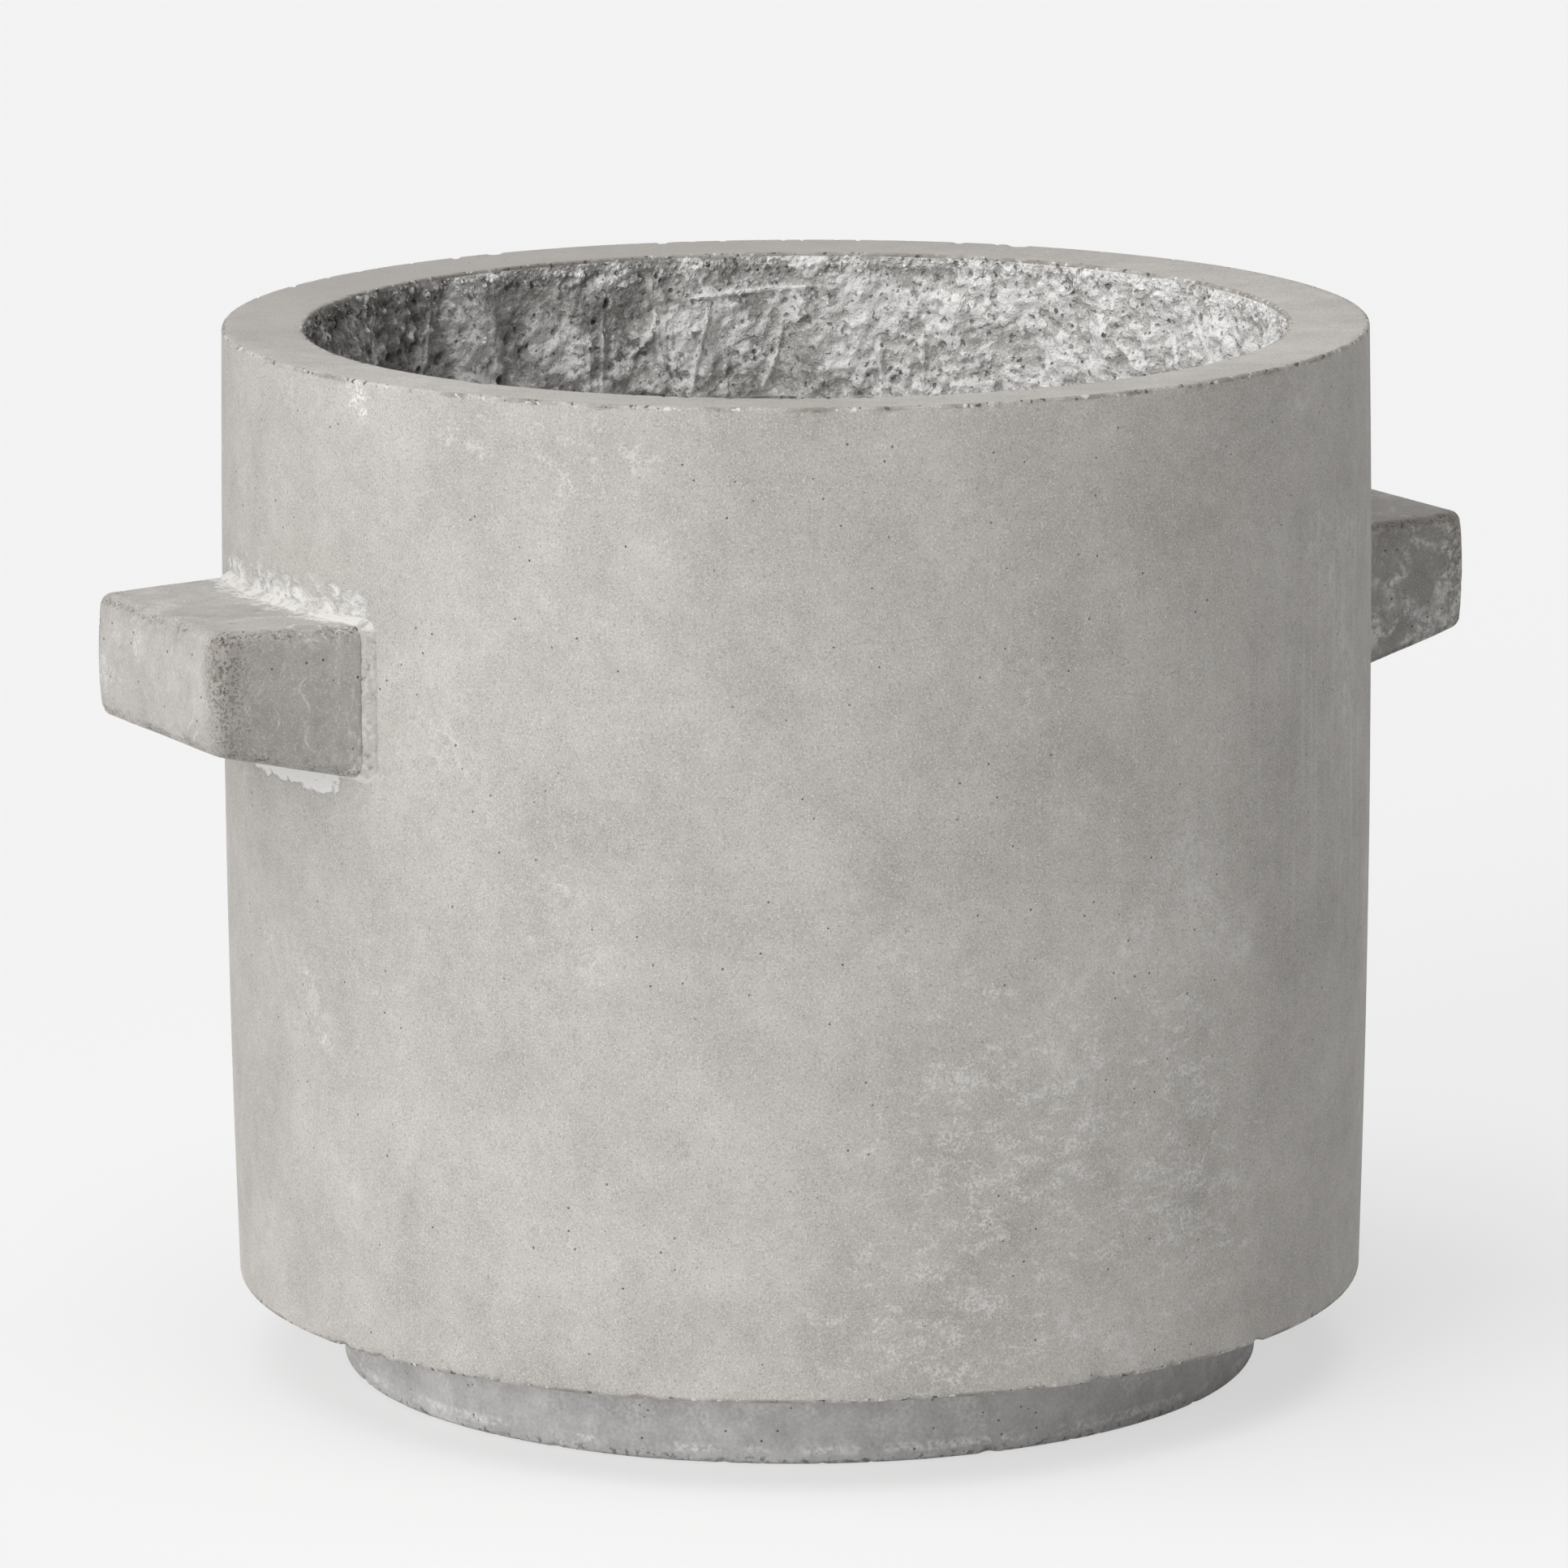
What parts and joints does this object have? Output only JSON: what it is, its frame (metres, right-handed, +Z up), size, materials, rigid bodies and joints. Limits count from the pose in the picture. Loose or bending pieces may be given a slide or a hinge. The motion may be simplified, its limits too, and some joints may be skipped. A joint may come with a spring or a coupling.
{
  "type": "flower pot",
  "caption": "Cast concrete floor planter: a straight drum with a wide flat rim, tapered lug handles, a recessed round foot and a plugged drain.",
  "frame": {"origin": "middle of the foot's underside, on the drum's axis", "axes": "+Z up along the drum's axis, +X through the right lug, +Y to the back"},
  "size_m": [0.498, 0.4025, 0.3689],
  "materials": {
    "face_concrete": "fair-faced cast concrete, matte",
    "lining_concrete": "hand-packed concrete, rough, with shiny lime patches",
    "lug_concrete": "cast concrete, worn edges",
    "foot_concrete": "cast concrete, mottled",
    "lime_mortar": "struck lime mortar",
    "drawn_steel": "drawn bar, dull",
    "grey_pvc": "extruded tube, satin",
    "black_rubber": "moulded, matte"
  },
  "bodies": {
    "pot": {"pot_shell": "face_concrete", "inner_lining": "lining_concrete", "lining_hoops": "drawn_steel", "lining_uprights": "drawn_steel", "right_lug": "lug_concrete", "left_lug": "lug_concrete", "right_lug_mortar": "lime_mortar", "left_lug_mortar": "lime_mortar", "right_lug_dowels": "drawn_steel", "left_lug_dowels": "drawn_steel", "foot_plinth": "foot_concrete", "foot_mortar": "lime_mortar", "foot_dowels": "drawn_steel", "drain_sleeve": "grey_pvc"},
    "plug": {"drain_plug": "black_rubber"}
  },
  "joints": [
    {"name": "plug_pull", "type": "slide", "parent": "pot", "child": "plug", "axis": [0, 0, 1], "range_m": [0, 0.34]}
  ]
}
